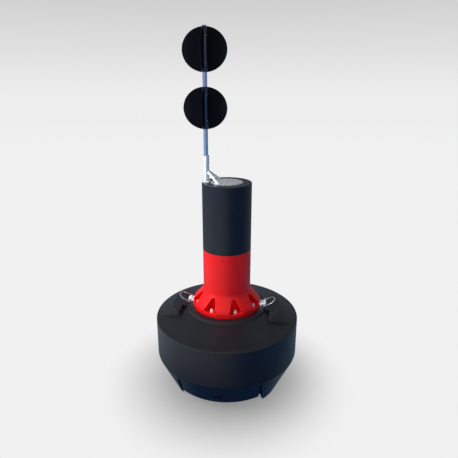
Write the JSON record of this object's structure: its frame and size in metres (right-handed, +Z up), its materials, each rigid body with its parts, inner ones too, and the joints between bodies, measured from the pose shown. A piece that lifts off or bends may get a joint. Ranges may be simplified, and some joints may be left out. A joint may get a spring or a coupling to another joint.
{
  "type": "navigation buoy",
  "caption": "Isolated danger mark buoy: moulded float, bolted red and black tower, mast with two crossed-disc ball topmarks and hinged lifting bails.",
  "frame": {"origin": "on the floor under the feet, on the axis of the float and tower", "axes": "+Z up along the tower; the lifting lugs and the topmark mast lie on the X axis, the mast towards -X; the handling channel runs along Y"},
  "size_m": [1.4998, 1.4998, 3.61],
  "materials": {
    "black_plastic": "moulded polyethylene, satin",
    "red_plastic": "moulded polyethylene, satin",
    "plate_metal": "textured",
    "stainless": "polished",
    "topmark_black": "matt sheet",
    "galvanised": "galvanised"
  },
  "bodies": {
    "buoy": {"float": "black_plastic", "tower_lower": "red_plastic", "tower_upper": "black_plastic", "lantern_plate": "plate_metal", "mast_socket": "galvanised", "mast_brace_front": "galvanised", "mast_brace_back": "galvanised", "mast_tube": "stainless", "mast_cap": "stainless", "topmark_ball_lower": "topmark_black", "topmark_ball_upper": "topmark_black", "lug_right": "galvanised", "lug_left": "galvanised", "lug_pin_right": "stainless", "lug_pin_left": "stainless", "mooring_eye": "galvanised"},
    "right_bail": {"bail_right": "stainless"},
    "left_bail": {"bail_left": "stainless"}
  },
  "joints": [
    {"name": "right_bail_hinge", "type": "hinge", "parent": "buoy", "child": "right_bail", "pos_m": [0.4, 0, 0.922], "axis": [0, -1, 0], "range_deg": [-29, 93]},
    {"name": "left_bail_hinge", "type": "hinge", "parent": "buoy", "child": "left_bail", "pos_m": [-0.4, 0, 0.922], "axis": [0, 1, 0], "range_deg": [-29, 93]}
  ]
}
